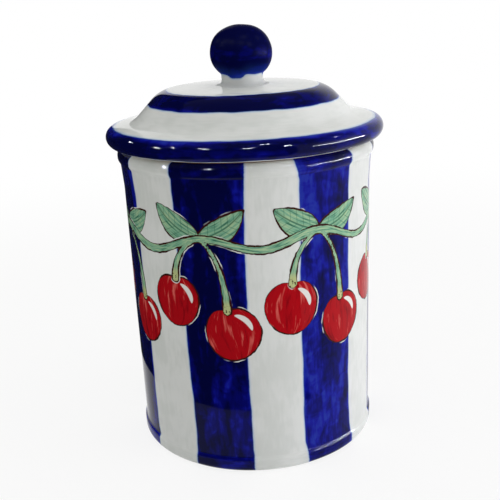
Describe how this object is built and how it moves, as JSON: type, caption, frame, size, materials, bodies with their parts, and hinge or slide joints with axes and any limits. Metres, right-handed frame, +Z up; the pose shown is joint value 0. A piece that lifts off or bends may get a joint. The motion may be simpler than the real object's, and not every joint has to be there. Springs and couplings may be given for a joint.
{
  "type": "biscuit jar",
  "caption": "Lidded biscuit jar in glazed earthenware: straight round body with foot and rim bands, domed lift-off lid with a rolled brim and a ball knob, blue and white stripes.",
  "frame": {"origin": "centre of the foot ring, on the surface that the jar stands on", "axes": "+Z up along the axis that the jar, the lid and the knob are turned about; -Y towards the viewer"},
  "size_m": [0.1678, 0.1678, 0.255],
  "materials": {
    "white_glaze": "gloss",
    "blue_glaze": "gloss"
  },
  "bodies": {
    "jar": {"jar_body": "white_glaze"},
    "lid": {"lid": "white_glaze", "knob": "blue_glaze"}
  },
  "joints": [
    {"name": "lid_lift", "type": "slide", "parent": "jar", "child": "lid", "axis": [0, 0, 1], "range_m": [0, 0.15]}
  ]
}
